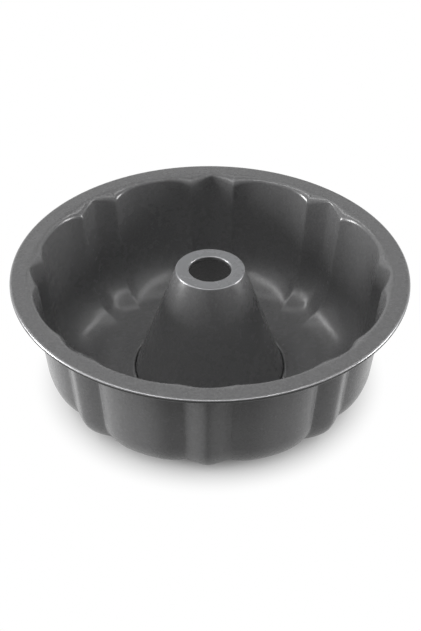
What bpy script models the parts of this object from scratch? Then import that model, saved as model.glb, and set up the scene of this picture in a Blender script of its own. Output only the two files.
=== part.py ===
"""Fluted tube pan of pressed sheet steel: a fluted body, a centre tube and the wire in the rim.

Lengths are metres and +Z is up. The pan stands on its flat foot ring at Z = 0, its axis is the
Z axis, and the middle of one pointed flute faces -Y, the front. Eight narrow pointed flutes
alternate with eight wide lobes. The tube's foot is folded round a collar at the body's centre
hole, as a lock seam, and the rim is rolled round a steel wire.
"""

import math

import bmesh
import bpy

# Sheet steel and clearances
SHEET = 0.0007
GAP = 0.0003
WIRE_GAP = 0.00035

# Overall size
RIM_RADIUS = 0.130
HEIGHT = 0.0857

# Rim and flange
CURL_RADIUS = 0.0016
FLANGE_WIDTH = 0.0136
FLANGE_FILLET_TIP = 0.0018
FLANGE_FILLET_VALLEY = 0.0085
FLANGE_FILLET_LOBE = 0.0032

# Fluted wall, cavity side, at the height of the rim
FLUTES = 8
FLUTE_TIP_OUT = 0.0011
FLUTE_HALF_WIDTH = 0.0154
FLUTE_VALLEY_IN = 0.0045
VALLEY_SOFTNESS = 0.0006
FLANK_POWER = 1.05
LOBE_POWER = 3.2
WALL_DRAFT = math.radians(6.0)
FOOT_FLUTE_SHARE = 0.9

# Foot ring and the rise of the floor to the centre hole
FOOT_RING_WIDTH = 0.0108
FLOOR_RISE_RUN = 0.0180

# Lock seam between the floor and the tube
SEAM_RADIUS = 0.0505
SEAM_LIFT = 0.0015
SEAM_DEPTH = 0.0020
COLLAR_BEND = 0.0008

# Centre tube
TUBE_TOP_RADIUS = 0.0225
TUBE_PROUD = 0.0005
TUBE_CORNER = 0.0010
TUBE_NECK_BEND = 0.0060
BORE_RADIUS = 0.0139
BORE_LIP_BEND = 0.0010
BORE_LIP_DEPTH = 0.0034

# Fineness of the mesh: sides of the round rings, and steps along each bend
RIM_SIDES = 64
TUBE_SIDES = 48
WIRE_SIDES = 8
FLANK_STEPS = 4
LOBE_STEPS = 4
LOBE_CROWDING = 1.4
CURL_STEPS = 6
FILLET_STEPS = 3
FOOT_STEPS = 7
RISE_STEPS = 3
COLLAR_STEPS = 4
BORE_LIP_STEPS = 2
TUBE_CORNER_STEPS = 3
TUBE_NECK_STEPS = 2
HEM_STEPS = 4
SHARP_EDGE = math.radians(50)

# Worked out from the sizes above
LOBE_RADIUS = RIM_RADIUS - FLANGE_WIDTH
SEAM_FOLD = SHEET / 2 + GAP
COLLAR_BEND_CAVITY = COLLAR_BEND + SHEET
COLLAR_FACE = SEAM_RADIUS + GAP
COLLAR_CENTRE_R = COLLAR_FACE + COLLAR_BEND_CAVITY
COLLAR_CENTRE_Z = SEAM_LIFT + SHEET + SEAM_FOLD + SEAM_DEPTH
SEAM_END_Z = COLLAR_CENTRE_Z - SEAM_DEPTH
FOOT_INNER = COLLAR_CENTRE_R + FLOOR_RISE_RUN
FOOT_OUTER = FOOT_INNER + FOOT_RING_WIDTH
TUBE_TOP = HEIGHT + TUBE_PROUD
CURL_CENTRE_R = RIM_RADIUS - CURL_RADIUS
CURL_CENTRE_Z = HEIGHT - CURL_RADIUS


def clear_scene():
    for old in list(bpy.data.objects):
        bpy.data.objects.remove(old, do_unlink=True)


def coated_steel():
    """Dark grey satin non-stick coating."""
    material = bpy.data.materials.new("grey_coating")
    material.use_nodes = True
    shader = material.node_tree.nodes["Principled BSDF"]
    shader.inputs["Base Color"].default_value = (0.085, 0.086, 0.089, 1)
    shader.inputs["Metallic"].default_value = 0
    shader.inputs["Roughness"].default_value = 0.3
    return material


def bare_steel():
    """Plain drawn steel wire."""
    material = bpy.data.materials.new("steel_wire")
    material.use_nodes = True
    shader = material.node_tree.nodes["Principled BSDF"]
    shader.inputs["Base Color"].default_value = (0.52, 0.52, 0.53, 1)
    shader.inputs["Metallic"].default_value = 1
    shader.inputs["Roughness"].default_value = 0.35
    return material


def span(start, end, steps):
    """Evenly spaced values from start to end, both included."""
    return [start + (end - start) * i / steps for i in range(steps + 1)]


def round_angles(sides):
    """Angles of a plain ring, counted from the front."""
    return [math.tau * i / sides for i in range(sides)]


def flute_angles():
    """Angles of a fluted ring: even on a flute's flanks, and closest at the valleys on a lobe."""
    half_sector = math.pi / FLUTES
    valley = FLUTE_HALF_WIDTH / LOBE_RADIUS
    flank = span(0, valley, FLANK_STEPS)
    lobe = [valley + (half_sector - valley) * (i / LOBE_STEPS) ** LOBE_CROWDING
            for i in range(1, LOBE_STEPS + 1)]
    rising = flank + lobe
    falling = [2 * half_sector - angle for angle in rising[-2:0:-1]]
    sector = rising + falling
    return [2 * half_sector * i + angle for i in range(FLUTES) for angle in sector]


def from_flute(angle):
    """Angle to the nearest flute's middle."""
    sector = math.tau / FLUTES
    turned = angle % sector
    return min(turned, sector - turned)


def flute_shape(angle):
    """How far the wall stands outside the lobes' radius: a flute's tip is out, a valley is in.

    The flank and the lobe are two curves that cross in the valley, and the larger one counts,
    blended where they cross.
    """
    turned = from_flute(angle)
    half_sector = math.pi / FLUTES
    valley = FLUTE_HALF_WIDTH / LOBE_RADIUS
    flank = FLUTE_TIP_OUT - (FLUTE_TIP_OUT + FLUTE_VALLEY_IN) * (turned / valley) ** FLANK_POWER
    across_lobe = (half_sector - turned) / (half_sector - valley)
    lobe = -FLUTE_VALLEY_IN * across_lobe ** LOBE_POWER
    return (flank + lobe) / 2 + math.hypot((flank - lobe) / 2, VALLEY_SOFTNESS)


def flute_share(height):
    """The flutes are deepest at the rim and a little shallower at the foot."""
    return FOOT_FLUTE_SHARE + (1 - FOOT_FLUTE_SHARE) * (height - SHEET) / (HEIGHT - SHEET)


def wall_radius(angle, height):
    """Cavity side of the straight, slightly tapered part of the wall."""
    taper = (HEIGHT - height) * math.tan(WALL_DRAFT)
    return LOBE_RADIUS - taper + flute_share(height) * flute_shape(angle)


def ring(angles, profile):
    """One closed ring of (angle, point), where profile(angle) gives radius and height."""
    points = []
    for angle in angles:
        radius, height = profile(angle)
        points.append((angle, (radius * math.sin(angle), -radius * math.cos(angle), height)))
    return points


def arc_rings(angles, centre_r, centre_z, radius, turns):
    """Plain rings along an arc of the section, one at each turn (an angle in the section)."""
    return [ring(angles, lambda _, turn=turn: (centre_r + radius * math.cos(turn),
                                               centre_z + radius * math.sin(turn)))
            for turn in turns]


def stitch(mesh, first, second):
    """Faces from one ring to the next; rings with unlike angles get a strip of triangles."""
    count_a, count_b = len(first), len(second)
    if count_a == count_b:
        for i in range(count_a):
            j = (i + 1) % count_a
            mesh.faces.new((second[i][1], second[j][1], first[j][1], first[i][1]))
        return
    i = j = 0
    while i < count_a or j < count_b:
        next_a = first[i + 1][0] if i + 1 < count_a else math.tau
        next_b = second[j + 1][0] if j + 1 < count_b else math.tau
        here_a, here_b = first[i % count_a][1], second[j % count_b][1]
        if j >= count_b or (i < count_a and next_a <= next_b):
            mesh.faces.new((here_b, first[(i + 1) % count_a][1], here_a))
            i += 1
        else:
            mesh.faces.new((here_b, second[(j + 1) % count_b][1], here_a))
            j += 1


def add_object(name, mesh, material):
    data = bpy.data.meshes.new(name)
    mesh.to_mesh(data)
    mesh.free()
    data.materials.append(material)
    data.shade_smooth()
    data.set_sharp_from_angle(angle=SHARP_EDGE)
    made = bpy.data.objects.new(name, data)
    bpy.context.scene.collection.objects.link(made)
    return made


def sheet_object(name, rings, material):
    """A pressed sheet: its cavity side runs through the rings, and its thickness lies behind."""
    mesh = bmesh.new()
    made_rings = [[(angle, mesh.verts.new(point)) for angle, point in points] for points in rings]
    for first, second in zip(made_rings, made_rings[1:]):
        stitch(mesh, first, second)
    made = add_object(name, mesh, material)
    solidify = made.modifiers.new("sheet", "SOLIDIFY")
    solidify.thickness = SHEET
    solidify.offset = -1
    solidify.use_even_offset = True
    return made


def collar_and_rise_rings(angles):
    """The floor's inner edge: up from the collar's end, over its bend and down to the foot."""
    drop = COLLAR_CENTRE_Z - SHEET
    rise_radius = ((FLOOR_RISE_RUN ** 2 + drop ** 2 - COLLAR_BEND_CAVITY ** 2)
                   / (2 * (drop + COLLAR_BEND_CAVITY)))
    tangent = math.atan2(rise_radius - drop, FLOOR_RISE_RUN)
    rings = [ring(angles, lambda _: (COLLAR_FACE, SEAM_END_Z))]
    rings += arc_rings(angles, COLLAR_CENTRE_R, COLLAR_CENTRE_Z, COLLAR_BEND_CAVITY,
                       span(math.pi, tangent, COLLAR_STEPS))
    rings += arc_rings(angles, FOOT_INNER, SHEET + rise_radius, rise_radius,
                       span(math.pi + tangent, 1.5 * math.pi, RISE_STEPS)[1:])
    return rings


def foot_and_wall_rings(angles):
    """The large round foot of the fluted wall, up to where the straight wall starts."""
    draft = math.tan(WALL_DRAFT)
    foot_radius = ((LOBE_RADIUS - FOOT_OUTER - (HEIGHT - SHEET) * draft)
                   / (1 / math.cos(WALL_DRAFT) - draft))

    def at(turn):
        height = SHEET + foot_radius * (1 - math.cos(turn))
        radius = FOOT_OUTER + foot_radius * math.sin(turn)
        return ring(angles, lambda angle: (radius + flute_share(height) * flute_shape(angle),
                                           height))

    return [at(turn) for turn in span(0, math.pi / 2 - WALL_DRAFT, FOOT_STEPS)]


def flange_fillet(angle):
    """Radius of the fillet at the flange: tightest at a flute's tip, largest in a valley."""
    turned = from_flute(angle)
    valley = FLUTE_HALF_WIDTH / LOBE_RADIUS
    if turned < valley:
        return (FLANGE_FILLET_TIP
                + (FLANGE_FILLET_VALLEY - FLANGE_FILLET_TIP) * turned / valley)
    across_lobe = (math.pi / FLUTES - turned) / (math.pi / FLUTES - valley)
    return (FLANGE_FILLET_LOBE
            + (FLANGE_FILLET_VALLEY - FLANGE_FILLET_LOBE) * across_lobe ** LOBE_POWER)


def flange_fillet_rings(angles):
    """The wall turns over into the flange."""
    def at(turn):
        def profile(angle):
            fillet = flange_fillet(angle)
            meets_wall = HEIGHT - fillet * (1 - math.sin(WALL_DRAFT))
            centre_r = wall_radius(angle, meets_wall) + fillet * math.cos(WALL_DRAFT)
            return (centre_r + fillet * math.cos(turn), HEIGHT - fillet + fillet * math.sin(turn))
        return ring(angles, profile)

    return [at(turn) for turn in span(math.pi - WALL_DRAFT, math.pi / 2, FILLET_STEPS)]


def build_fluted_body(material):
    """Collar, floor, foot ring, fluted wall, flange and rolled edge, pressed from one sheet."""
    plain, fluted = round_angles(RIM_SIDES), flute_angles()
    rings = collar_and_rise_rings(plain)
    rings += foot_and_wall_rings(fluted)
    rings += flange_fillet_rings(fluted)
    rings += arc_rings(plain, CURL_CENTRE_R, CURL_CENTRE_Z, CURL_RADIUS,
                       span(math.pi / 2, -math.pi, CURL_STEPS))
    return sheet_object("fluted_body", rings, material)


def build_centre_tube(material):
    """Bore lip, flat top ring, cone, neck and the hem that is folded round the body's collar."""
    angles = round_angles(TUBE_SIDES)
    across = TUBE_TOP_RADIUS - (SEAM_RADIUS - TUBE_NECK_BEND)
    up = TUBE_TOP - COLLAR_CENTRE_Z
    lean = math.atan2(up, across) - math.acos(TUBE_NECK_BEND / math.hypot(across, up))
    corner_set_in = TUBE_CORNER * math.tan(math.pi / 4 - lean / 2)
    rings = [ring(angles, lambda _: (BORE_RADIUS, TUBE_TOP - BORE_LIP_DEPTH))]
    rings += arc_rings(angles, BORE_RADIUS + BORE_LIP_BEND, TUBE_TOP - BORE_LIP_BEND,
                       BORE_LIP_BEND, span(math.pi, math.pi / 2, BORE_LIP_STEPS))
    rings += arc_rings(angles, TUBE_TOP_RADIUS - corner_set_in, TUBE_TOP - TUBE_CORNER,
                       TUBE_CORNER, span(math.pi / 2, lean, TUBE_CORNER_STEPS))
    rings += arc_rings(angles, SEAM_RADIUS - TUBE_NECK_BEND, COLLAR_CENTRE_Z, TUBE_NECK_BEND,
                       span(lean, 0, TUBE_NECK_STEPS))
    rings += arc_rings(angles, COLLAR_FACE + SHEET / 2, SEAM_END_Z, SEAM_FOLD,
                       span(-math.pi, 0, HEM_STEPS))
    rings.append(ring(angles, lambda _: (COLLAR_FACE + SHEET + GAP, COLLAR_CENTRE_Z)))
    return sheet_object("centre_tube", rings, material)


def build_rim_wire(material):
    """A steel ring that lies inside the rolled edge."""
    angles = round_angles(RIM_SIDES)
    wire_radius = CURL_RADIUS - SHEET - WIRE_GAP
    turns = [math.tau * i / WIRE_SIDES for i in range(WIRE_SIDES)]
    rings = arc_rings(angles, CURL_CENTRE_R, CURL_CENTRE_Z, wire_radius, turns)
    mesh = bmesh.new()
    made_rings = [[(angle, mesh.verts.new(point)) for angle, point in points] for points in rings]
    for i, first in enumerate(made_rings):
        stitch(mesh, made_rings[(i + 1) % WIRE_SIDES], first)
    return add_object("rim_wire", mesh, material)


def main():
    clear_scene()
    coating = coated_steel()
    pan = bpy.data.objects.new("fluted_tube_pan", None)
    bpy.context.scene.collection.objects.link(pan)
    for piece in (build_fluted_body(coating), build_centre_tube(coating),
                  build_rim_wire(bare_steel())):
        piece.parent = pan


main()
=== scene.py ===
"""Looks of the fluted tube pan: fine surfaces and coating of the pressings, and a plain studio.

Lengths are metres in the frame's own axes: +Z is up, the pan stands at Z = 0 on the Z axis, and
the middle of one pointed flute faces -Y, the front.
"""

import math

import bpy
import numpy as np
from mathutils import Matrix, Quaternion, Vector


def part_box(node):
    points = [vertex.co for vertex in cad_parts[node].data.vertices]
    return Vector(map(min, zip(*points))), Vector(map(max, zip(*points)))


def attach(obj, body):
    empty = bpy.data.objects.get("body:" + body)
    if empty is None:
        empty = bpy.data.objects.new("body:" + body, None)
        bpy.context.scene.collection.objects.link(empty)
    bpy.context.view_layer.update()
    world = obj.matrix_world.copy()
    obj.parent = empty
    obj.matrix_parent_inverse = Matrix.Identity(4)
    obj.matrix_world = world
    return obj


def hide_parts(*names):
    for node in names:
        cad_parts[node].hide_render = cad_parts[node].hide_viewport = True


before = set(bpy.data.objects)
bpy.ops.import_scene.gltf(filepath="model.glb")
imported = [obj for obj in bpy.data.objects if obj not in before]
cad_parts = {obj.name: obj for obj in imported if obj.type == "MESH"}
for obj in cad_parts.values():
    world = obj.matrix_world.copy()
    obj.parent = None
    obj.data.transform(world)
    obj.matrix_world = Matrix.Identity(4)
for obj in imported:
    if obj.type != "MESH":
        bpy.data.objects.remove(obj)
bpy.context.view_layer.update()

# Sizes read from the frame
BODY_LOW, BODY_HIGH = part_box("fluted_body")
TUBE_LOW, TUBE_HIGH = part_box("centre_tube")
RIM_RADIUS = BODY_HIGH.x
HEIGHT = BODY_HIGH.z
TUBE_TOP = TUBE_HIGH.z
HEM_RADIUS = TUBE_HIGH.x

# Sheet steel and clearances
SHEET = 0.0007
GAP = 0.0003

# Rim, flange and fluted wall, cavity side
CURL_RADIUS = 0.0016
FLANGE_WIDTH = 0.0136
FLANGE_FILLET_TIP = 0.0018
FLANGE_FILLET_VALLEY = 0.0085
FLANGE_FILLET_LOBE = 0.0032
FLUTES = 8
FLUTE_TIP_OUT = 0.0011
FLUTE_HALF_WIDTH = 0.0154
FLUTE_VALLEY_IN = 0.0047
VALLEY_SOFTNESS = 0.0005
TIP_SOFTNESS = 0.0012
FLANK_POWER = 1.2
LOBE_POWER = 3.2
WALL_DRAFT = math.radians(6.0)
FOOT_FLUTE_SHARE = 0.9
FOOT_RING_WIDTH = 0.0108
FLOOR_RISE_RUN = 0.0180

# Lock seam and centre tube
SEAM_LIFT = 0.0015
SEAM_DEPTH = 0.0020
COLLAR_BEND = 0.0008
TUBE_TOP_RADIUS = 0.0225
TUBE_CORNER = 0.0010
TUBE_NECK_BEND = 0.0060
BORE_RADIUS = 0.0139
BORE_LIP_BEND = 0.0010
BORE_LIP_DEPTH = 0.0034

# Fineness of the fine surfaces, round the pan and along the section
FLANK_STEPS = 10
LOBE_STEPS = 20
LOBE_CROWDING = 1.6
COLLAR_STEPS = 8
FLOOR_STEPS = 8
FOOT_STEPS = 16
WALL_STEPS = 8
FLANGE_FILLET_STEPS = 9
FLANGE_RINGS = (0.1, 0.5, 0.9)
CURL_STEPS = 20
TUBE_SIDES = 192
BORE_LIP_STEPS = 6
TUBE_CORNER_STEPS = 8
TUBE_NECK_STEPS = 6
HEM_STEPS = 10

# Worked out from the sizes above
LOBE_RADIUS = RIM_RADIUS - FLANGE_WIDTH
VALLEY_ANGLE = FLUTE_HALF_WIDTH / LOBE_RADIUS
HALF_SECTOR = math.pi / FLUTES
SEAM_RADIUS = HEM_RADIUS - 2 * SHEET - 2 * GAP
SEAM_FOLD = SHEET / 2 + GAP
COLLAR_BEND_CAVITY = COLLAR_BEND + SHEET
COLLAR_FACE = SEAM_RADIUS + GAP
COLLAR_CENTRE_R = COLLAR_FACE + COLLAR_BEND_CAVITY
COLLAR_CENTRE_Z = SEAM_LIFT + SHEET + SEAM_FOLD + SEAM_DEPTH
SEAM_END_Z = COLLAR_CENTRE_Z - SEAM_DEPTH
FOOT_INNER = COLLAR_CENTRE_R + FLOOR_RISE_RUN
FOOT_OUTER = FOOT_INNER + FOOT_RING_WIDTH

# Colours, linear
COATING = (0.075, 0.075, 0.076, 1)
COATING_LIGHT = (0.097, 0.097, 0.098, 1)
COATING_RUBBED = (0.125, 0.127, 0.131, 1)
BARE_EDGE = (0.20, 0.20, 0.205, 1)
# Painted shade on the lower outside of the rolled edge
PAINTED_SHADE_UNDER_EDGE = (0.008, 0.008, 0.008, 1)
STEEL = (0.52, 0.52, 0.53, 1)
STEEL_DARK = (0.42, 0.42, 0.43, 1)

# Coating: refractive index, gloss, and the scales and depth of its unevenness
COATING_IOR = 1.38
ROUGHNESS = (0.24, 0.29)
CLOUD_ROUGHER = (-0.02, 0.03)
GRAIN_SCALE = 800
GRAIN_RANGE = (0.35, 0.70)
MOTTLE_SCALE = 240
CLOUD_SCALE = 32
NOISE_RANGE = (0.3, 0.7)
GRAIN_DEPTH = 0.00003
GRAIN_STRENGTH = 0.12

# Wear and painted light: depths below a piece's top at which it is lighter (rubbed, and partly
# painted highlight on the body's rolled edge), bare, and darkened by painted shade
TOP_WEAR_AND_HIGHLIGHT_TO = 0.0012
TOP_WEAR_AND_HIGHLIGHT_FADE = 0.0006
BARE_FROM = 0.00015
BARE_TO = 0.0006
BARE_FADE = 0.0002
BARE_ROUGHER = 0.13
# Depths of the painted shade under the rolled edge
PAINTED_SHADE_FROM = 0.0009
PAINTED_SHADE_TO = 0.0013

# Wire
WIRE_GRAIN_SCALE = 900
WIRE_ROUGHNESS = (0.28, 0.42)


def fluted_angles():
    """Angles of a fluted ring, closest together at the flutes' tips and at the valleys."""
    flank = [VALLEY_ANGLE * (1 - math.cos(math.pi * i / FLANK_STEPS)) / 2
             for i in range(FLANK_STEPS)]
    lobe = [VALLEY_ANGLE + (HALF_SECTOR - VALLEY_ANGLE) * (i / LOBE_STEPS) ** LOBE_CROWDING
            for i in range(LOBE_STEPS + 1)]
    rising = flank + lobe
    falling = [2 * HALF_SECTOR - angle for angle in rising[-2:0:-1]]
    sector = np.array(rising + falling)
    return np.concatenate([sector + 2 * HALF_SECTOR * i for i in range(FLUTES)])


def from_flute(angle):
    """Angle to the nearest flute's middle."""
    turned = angle % (2 * HALF_SECTOR)
    return np.minimum(turned, 2 * HALF_SECTOR - turned)


def across_lobe(turned):
    """From 0 in a lobe's middle to 1 in the valley beside it, and more on the flank past it."""
    return (HALF_SECTOR - turned) / (HALF_SECTOR - VALLEY_ANGLE)


def flute_shape(angle):
    """How far the wall stands outside the lobes' radius: out at a flute's tip, in at a valley."""
    turned = from_flute(angle)
    soft = TIP_SOFTNESS / FLUTE_HALF_WIDTH
    run = np.hypot(turned / VALLEY_ANGLE, soft) - soft
    flank = FLUTE_TIP_OUT - (FLUTE_TIP_OUT + FLUTE_VALLEY_IN) * run ** FLANK_POWER
    lobe = -FLUTE_VALLEY_IN * across_lobe(turned) ** LOBE_POWER
    return (flank + lobe) / 2 + np.hypot((flank - lobe) / 2, VALLEY_SOFTNESS)


def flute_share(height):
    """The flutes are deepest at the rim and a little shallower at the foot."""
    return FOOT_FLUTE_SHARE + (1 - FOOT_FLUTE_SHARE) * (height - SHEET) / (HEIGHT - SHEET)


def flange_fillet(angle):
    """Radius of the fillet at the flange: tightest at a flute's tip, largest in a valley."""
    turned = from_flute(angle)
    on_flank = (FLANGE_FILLET_TIP
                + (FLANGE_FILLET_VALLEY - FLANGE_FILLET_TIP) * turned / VALLEY_ANGLE)
    on_lobe = (FLANGE_FILLET_LOBE + (FLANGE_FILLET_VALLEY - FLANGE_FILLET_LOBE)
               * across_lobe(turned) ** LOBE_POWER)
    return np.where(turned < VALLEY_ANGLE, on_flank, on_lobe)


def ring(angles, radius, height):
    """One closed ring of points; radius and height may differ from angle to angle."""
    flat = np.zeros(len(angles))
    return np.column_stack([radius * np.sin(angles), -radius * np.cos(angles), height + flat])


def arc(angles, centre_r, centre_z, radius, start, end, steps):
    """Plain rings along an arc of the section, from one angle in the section to another."""
    return [ring(angles, centre_r + radius * math.cos(turn), centre_z + radius * math.sin(turn))
            for turn in np.linspace(start, end, steps + 1)]


def sheet_piece(name, rings, material):
    """A pressed sheet: its cavity side runs through the rings, and its thickness lies behind."""
    sides = len(rings[0])
    points = np.concatenate(rings)
    here = np.arange(sides)
    beside = (here + 1) % sides
    faces = [np.column_stack([row + sides + here, row + sides + beside, row + beside, row + here])
             for row in range(0, sides * (len(rings) - 1), sides)]
    data = bpy.data.meshes.new(name)
    data.from_pydata(points.tolist(), [], np.concatenate(faces).tolist())
    data.materials.append(material)
    data.shade_smooth()
    piece = bpy.data.objects.new(name, data)
    bpy.context.scene.collection.objects.link(piece)
    solidify = piece.modifiers.new("sheet", "SOLIDIFY")
    solidify.thickness = SHEET
    solidify.offset = -1
    solidify.use_even_offset = True
    return piece


def floor_rings(angles):
    """Collar, the bend over it, and the floor down to the foot ring."""
    drop = COLLAR_CENTRE_Z - SHEET
    rise_radius = ((FLOOR_RISE_RUN ** 2 + drop ** 2 - COLLAR_BEND_CAVITY ** 2)
                   / (2 * (drop + COLLAR_BEND_CAVITY)))
    tangent = math.atan2(rise_radius - drop, FLOOR_RISE_RUN)
    rings = [ring(angles, COLLAR_FACE, SEAM_END_Z)]
    rings += arc(angles, COLLAR_CENTRE_R, COLLAR_CENTRE_Z, COLLAR_BEND_CAVITY,
                 math.pi, tangent, COLLAR_STEPS)
    rings += arc(angles, FOOT_INNER, SHEET + rise_radius, rise_radius,
                 math.pi + tangent, 1.5 * math.pi, FLOOR_STEPS)[1:]
    return rings


def foot_rings(angles, shape):
    """The round foot of the wall, and the height at which it ends."""
    draft = math.tan(WALL_DRAFT)
    foot_radius = ((LOBE_RADIUS - FOOT_OUTER - (HEIGHT - SHEET) * draft)
                   / (1 / math.cos(WALL_DRAFT) - draft))
    rings = []
    for turn in np.linspace(0, math.pi / 2 - WALL_DRAFT, FOOT_STEPS + 1):
        height = SHEET + foot_radius * (1 - math.cos(turn))
        radius = FOOT_OUTER + foot_radius * math.sin(turn)
        rings.append(ring(angles, radius + flute_share(height) * shape, height))
    return rings, height


def wall_rings(angles):
    """The round foot of the wall, the straight wall, and the fillet into the flange."""
    shape = flute_shape(angles)
    rings, foot_top = foot_rings(angles, shape)
    fillet = flange_fillet(angles)
    wall_top = HEIGHT - fillet * (1 - math.sin(WALL_DRAFT))
    for along in np.linspace(0, 1, WALL_STEPS + 1)[1:]:
        height = foot_top + (wall_top - foot_top) * along
        radius = (LOBE_RADIUS - (HEIGHT - height) * math.tan(WALL_DRAFT)
                  + flute_share(height) * shape)
        rings.append(ring(angles, radius, height))
    centre_r = radius + fillet * math.cos(WALL_DRAFT)
    for turn in np.linspace(math.pi - WALL_DRAFT, math.pi / 2, FLANGE_FILLET_STEPS + 1)[1:]:
        rings.append(ring(angles, centre_r + fillet * math.cos(turn),
                          HEIGHT - fillet + fillet * math.sin(turn)))
    return rings


def build_body(material):
    """The outer pressing: collar, floor, fluted wall, flange and rolled edge."""
    angles = fluted_angles()
    rings = floor_rings(angles) + wall_rings(angles)
    curl_r = RIM_RADIUS - CURL_RADIUS
    inner = rings[-1]
    outer = ring(angles, curl_r, HEIGHT)
    rings += [inner + (outer - inner) * along for along in FLANGE_RINGS]
    rings += arc(angles, curl_r, HEIGHT - CURL_RADIUS, CURL_RADIUS,
                 math.pi / 2, -math.pi, CURL_STEPS)
    piece = sheet_piece("body_pressing", rings, material)
    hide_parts("fluted_body")
    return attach(piece, "root")


def build_tube(material):
    """The centre pressing: bore lip, top ring, cone, neck and the hem round the collar."""
    angles = np.arange(TUBE_SIDES) * math.tau / TUBE_SIDES
    across = TUBE_TOP_RADIUS - (SEAM_RADIUS - TUBE_NECK_BEND)
    up = TUBE_TOP - COLLAR_CENTRE_Z
    lean = math.atan2(up, across) - math.acos(TUBE_NECK_BEND / math.hypot(across, up))
    corner_set_in = TUBE_CORNER * math.tan(math.pi / 4 - lean / 2)
    rings = [ring(angles, BORE_RADIUS, TUBE_TOP - BORE_LIP_DEPTH)]
    rings += arc(angles, BORE_RADIUS + BORE_LIP_BEND, TUBE_TOP - BORE_LIP_BEND, BORE_LIP_BEND,
                 math.pi, math.pi / 2, BORE_LIP_STEPS)
    rings += arc(angles, TUBE_TOP_RADIUS - corner_set_in, TUBE_TOP - TUBE_CORNER, TUBE_CORNER,
                 math.pi / 2, lean, TUBE_CORNER_STEPS)
    rings += arc(angles, SEAM_RADIUS - TUBE_NECK_BEND, COLLAR_CENTRE_Z, TUBE_NECK_BEND,
                 lean, 0, TUBE_NECK_STEPS)
    rings += arc(angles, COLLAR_FACE + SHEET / 2, SEAM_END_Z, SEAM_FOLD, -math.pi, 0, HEM_STEPS)
    rings.append(ring(angles, COLLAR_FACE + SHEET + GAP, COLLAR_CENTRE_Z))
    piece = sheet_piece("tube_pressing", rings, material)
    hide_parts("centre_tube")
    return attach(piece, "root")


class Nodes:
    """Short calls for the nodes of one material or world."""

    def __init__(self, tree):
        self.tree = tree

    def add(self, kind, **settings):
        node = self.tree.nodes.new(kind)
        for name, value in settings.items():
            setattr(node, name, value)
        return node

    def link(self, source, target):
        self.tree.links.new(source, target)

    def place(self):
        """Where a point is, in the frame's axes."""
        return self.add("ShaderNodeTexCoord").outputs["Object"]

    def height(self, place):
        split = self.add("ShaderNodeSeparateXYZ")
        self.link(place, split.inputs[0])
        return split.outputs["Z"]

    def radius(self, place):
        """Distance from the pan's axis."""
        flat = self.add("ShaderNodeVectorMath", operation="MULTIPLY")
        self.link(place, flat.inputs[0])
        flat.inputs[1].default_value = (1, 1, 0)
        length = self.add("ShaderNodeVectorMath", operation="LENGTH")
        self.link(flat.outputs[0], length.inputs[0])
        return length.outputs["Value"]

    def noise(self, place, scale):
        node = self.add("ShaderNodeTexNoise")
        node.inputs["Scale"].default_value = scale
        self.link(place, node.inputs["Vector"])
        return node.outputs["Fac"]

    def remap(self, value, low, high, to_low, to_high):
        """A smooth step from to_low, up to the value low, to to_high, from the value high on."""
        node = self.add("ShaderNodeMapRange", interpolation_type="SMOOTHSTEP")
        self.link(value, node.inputs["Value"])
        for name, number in (("From Min", low), ("From Max", high),
                             ("To Min", to_low), ("To Max", to_high)):
            node.inputs[name].default_value = number
        return node.outputs["Result"]

    def math(self, operation, first, second):
        node = self.add("ShaderNodeMath", operation=operation)
        for socket, value in zip(node.inputs, (first, second)):
            if isinstance(value, (int, float)):
                socket.default_value = value
            else:
                self.link(value, socket)
        return node.outputs["Value"]

    def mix(self, share, first, second):
        node = self.add("ShaderNodeMix", data_type="RGBA")
        self.link(share, node.inputs["Factor"])
        for socket, colour in ((node.inputs["A"], first), (node.inputs["B"], second)):
            if isinstance(colour, tuple):
                socket.default_value = colour
            else:
                self.link(colour, socket)
        return node.outputs["Result"]

    def bump(self, height, distance, strength):
        node = self.add("ShaderNodeBump")
        node.inputs["Distance"].default_value = distance
        node.inputs["Strength"].default_value = strength
        self.link(height, node.inputs["Height"])
        return node.outputs["Normal"]

    def seen(self):
        """1 for what the camera sees, straight or in a reflection, and 0 for what gives light."""
        path = self.add("ShaderNodeLightPath")
        seen = self.math("MAXIMUM", path.outputs["Is Camera Ray"], path.outputs["Is Glossy Ray"])
        return self.math("MAXIMUM", seen, path.outputs["Is Transmission Ray"])


def new_material(name):
    material = bpy.data.materials.new(name)
    material.use_nodes = True
    tree = material.node_tree
    return material, Nodes(tree), tree.nodes["Principled BSDF"]


def bare_share(n, edge, height, top):
    """1 on the turned edges just under a piece's top, where the coating is worn through."""
    above = n.remap(height, top - BARE_TO - BARE_FADE, top - BARE_TO, 0, 1)
    below = n.remap(height, top - BARE_FROM - BARE_FADE, top - BARE_FROM, 1, 0)
    return n.math("MULTIPLY", n.math("MULTIPLY", edge, above), below)


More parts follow.
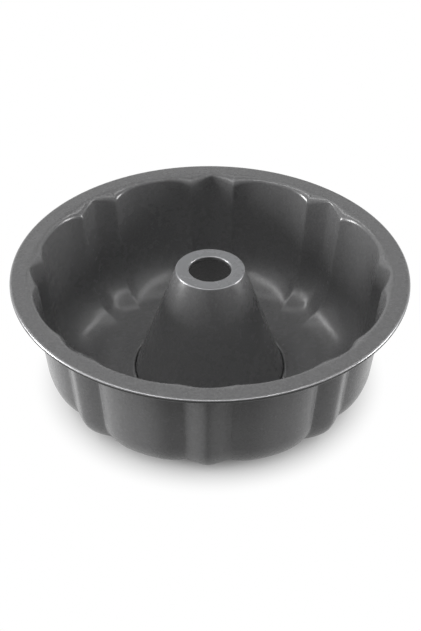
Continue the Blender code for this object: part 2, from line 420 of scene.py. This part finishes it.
def coating(name, top, outside_radius, wear_and_highlight_colour, under_shade_colour=None):
    """Dark grey satin non-stick coating with a fine grain, worn where the piece is highest.

    Outside outside_radius the top takes a lighter colour: rubbed coating on the tube's ring, and
    partly painted highlight on the body's rolled edge.
    The turned edges just under it are worn to bare metal. Below those, a dark colour on the
    lower outside of the turned edge is painted shade.
    """
    material, n, shader = new_material(name)
    place = n.place()
    height = n.height(place)
    grain = n.noise(place, GRAIN_SCALE)
    mottle = n.noise(place, MOTTLE_SCALE)
    cloud = n.noise(place, CLOUD_SCALE)

    edge = n.remap(n.radius(place), outside_radius - BARE_FADE, outside_radius, 0, 1)
    high = n.remap(height, top - TOP_WEAR_AND_HIGHLIGHT_TO, top - TOP_WEAR_AND_HIGHLIGHT_TO + TOP_WEAR_AND_HIGHLIGHT_FADE, 0, 1)
    bare = bare_share(n, edge, height, top)

    fresh = n.mix(n.remap(grain, *GRAIN_RANGE, 0, 1), COATING, COATING_LIGHT)
    # Lighter top band: rubbed wear on the tube, and partly painted highlight on the body's rolled
    # edge
    colour = n.mix(n.math("MULTIPLY", edge, high), fresh, wear_and_highlight_colour)
    # Painted shade: darker colour on the lower outside of the turned edge
    if under_shade_colour:
        low = n.remap(height, top - PAINTED_SHADE_TO, top - PAINTED_SHADE_FROM, 1, 0)
        colour = n.mix(n.math("MULTIPLY", edge, low), colour, under_shade_colour)
    n.link(n.mix(bare, colour, BARE_EDGE), shader.inputs["Base Color"])
    n.link(bare, shader.inputs["Metallic"])

    roughness = n.math("ADD", n.remap(mottle, *NOISE_RANGE, *ROUGHNESS),
                       n.remap(cloud, *NOISE_RANGE, *CLOUD_ROUGHER))
    roughness = n.math("ADD", roughness, n.math("MULTIPLY", bare, BARE_ROUGHER))
    n.link(roughness, shader.inputs["Roughness"])
    shader.inputs["IOR"].default_value = COATING_IOR
    n.link(n.bump(grain, GRAIN_DEPTH, GRAIN_STRENGTH), shader.inputs["Normal"])
    return material


def bare_steel():
    """Drawn steel wire with a fine grain."""
    material, n, shader = new_material("wire_steel")
    grain = n.noise(n.place(), WIRE_GRAIN_SCALE)
    n.link(n.mix(n.remap(grain, *NOISE_RANGE, 0, 1), STEEL, STEEL_DARK),
           shader.inputs["Base Color"])
    n.link(n.remap(grain, *NOISE_RANGE, *WIRE_ROUGHNESS), shader.inputs["Roughness"])
    shader.inputs["Metallic"].default_value = 1.0
    return material


def build_pan():
    """The body is worn on its rolled edge, lighter on top of it partly as painted highlight and
    darker under it as painted shade; the tube is worn on its top ring and bore lip.
    """
    curl_top = RIM_RADIUS - CURL_RADIUS
    # The body's rolled edge is lighter on top, partly as painted highlight, and darker below as
    # painted shade
    build_body(coating("body_coating", HEIGHT, curl_top + BARE_FADE, COATING_LIGHT, PAINTED_SHADE_UNDER_EDGE))
    build_tube(coating("tube_coating", TUBE_TOP, 0, COATING_RUBBED))
    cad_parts["rim_wire"].data.materials.clear()
    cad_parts["rim_wire"].data.materials.append(bare_steel())


# Floor: grey by itself, white from WHITE_TO on, and lit under the tube inside GLOW_TO
FLOOR_HALF = 3.0
FLOOR_DROP = 0.0001
FLOOR_COLOUR = (0.30, 0.30, 0.30, 1)
FLOOR_ROUGHNESS = 0.9
WHITE_FROM = 0.080
WHITE_TO = 0.122
GLOW = 0.45
GLOW_FROM = 0.042
GLOW_TO = 0.034


def floor_material():
    """Grey that keeps the pan's shadow, runs out to plain white, and glows under the tube."""
    material, n, shader = new_material("floor_white")
    shader.inputs["Base Color"].default_value = FLOOR_COLOUR
    shader.inputs["Roughness"].default_value = FLOOR_ROUGHNESS
    shader.inputs["Specular IOR Level"].default_value = 0.0
    radius = n.radius(n.place())
    outside = n.remap(radius, WHITE_FROM, WHITE_TO, 0, 1)
    under_tube = n.remap(radius, GLOW_FROM, GLOW_TO, 0, GLOW)
    white = n.add("ShaderNodeEmission")
    blend = n.add("ShaderNodeMixShader")
    n.link(n.math("MAXIMUM", n.math("MULTIPLY", outside, n.seen()), under_tube), blend.inputs[0])
    n.link(shader.outputs[0], blend.inputs[1])
    n.link(white.outputs[0], blend.inputs[2])
    n.link(blend.outputs[0], n.tree.nodes["Material Output"].inputs["Surface"])
    return material


def build_floor():
    """A flat floor, a hair below the foot ring."""
    data = bpy.data.meshes.new("floor")
    h = FLOOR_HALF
    data.from_pydata([(-h, -h, 0), (h, -h, 0), (h, h, 0), (-h, h, 0)], [], [(0, 1, 2, 3)])
    data.materials.append(floor_material())
    floor = bpy.data.objects.new("floor", data)
    bpy.context.scene.collection.objects.link(floor)
    floor.location.z = -FLOOR_DROP


def build_world():
    """White where it is seen, and dark as a source of light."""
    world = bpy.data.worlds.new("studio")
    bpy.context.scene.world = world
    world.use_nodes = True
    n = Nodes(world.node_tree)
    background = n.tree.nodes["Background"]
    background.inputs["Color"].default_value = (1, 1, 1, 1)
    n.link(n.seen(), background.inputs["Strength"])


# Lamps, all turned to AIM: azimuth from the front to the right and elevation in degrees,
# distance, width and height in metres, and radiance, where 1 is white
AIM = Vector((0, 0, 0.06))
LAMPS = {
    "left_box": (-88, 6, 1.2, 0.3, 0.4, 83),
    "right_box": (93, 6, 1.2, 0.3, 0.4, 47),
    "left_strip": (-82, 58, 1.2, 2.0, 0.10, 20),
    "right_strip": (82, 58, 1.2, 2.0, 0.10, 14),
    "top_box": (180, 70, 1.3, 1.2, 0.3, 2.0),
    "front_box": (0, 58, 1.3, 0.3, 0.3, 8.0),
}


def softbox(name, azimuth, elevation, distance, width, height, radiance):
    """A rectangular lamp that is turned to AIM."""
    turn, rise = math.radians(azimuth), math.radians(elevation)
    away = Vector((math.sin(turn) * math.cos(rise), -math.cos(turn) * math.cos(rise),
                   math.sin(rise)))
    data = bpy.data.lights.new(name, "AREA")
    data.shape = "RECTANGLE"
    data.size = width
    data.size_y = height
    data.energy = radiance * math.pi * width * height
    lamp = bpy.data.objects.new(name, data)
    lamp.location = AIM + away * distance
    lamp.rotation_euler = away.to_track_quat("Z", "Y").to_euler()
    bpy.context.scene.collection.objects.link(lamp)


def build_lights():
    """Two low side boxes model the flutes, and strips and small boxes above light the flange."""
    for name, setting in LAMPS.items():
        softbox(name, *setting)


# Camera: it looks at a point on the pan's axis, from the front and a little to the right
CAMERA_DISTANCE = 0.9
CAMERA_DOWN = math.radians(37.58)
CAMERA_TURN = math.radians(0.5)
CAMERA_ROLL = math.radians(0.3)
CAMERA_SHIFT = 0.0011
CAMERA_LENS = 76.7
CAMERA_BELOW_RIM = 0.03813
CAMERA_NEAREST = 0.01


def build_camera():
    target = Vector((0, 0, HEIGHT - CAMERA_BELOW_RIM))
    back = Vector((math.sin(CAMERA_TURN) * math.cos(CAMERA_DOWN),
                   -math.cos(CAMERA_TURN) * math.cos(CAMERA_DOWN), math.sin(CAMERA_DOWN)))
    data = bpy.data.cameras.new("camera")
    data.lens = CAMERA_LENS
    data.shift_x = CAMERA_SHIFT
    data.clip_start = CAMERA_NEAREST
    camera = bpy.data.objects.new("camera", data)
    camera.location = target + back * CAMERA_DISTANCE
    level = back.to_track_quat("Z", "Y")
    camera.rotation_euler = (Quaternion(back, CAMERA_ROLL) @ level).to_euler()
    bpy.context.scene.collection.objects.link(camera)
    bpy.context.scene.camera = camera


bpy.context.scene.view_settings.view_transform = "Standard"
build_pan()
build_floor()
build_world()
build_lights()
build_camera()
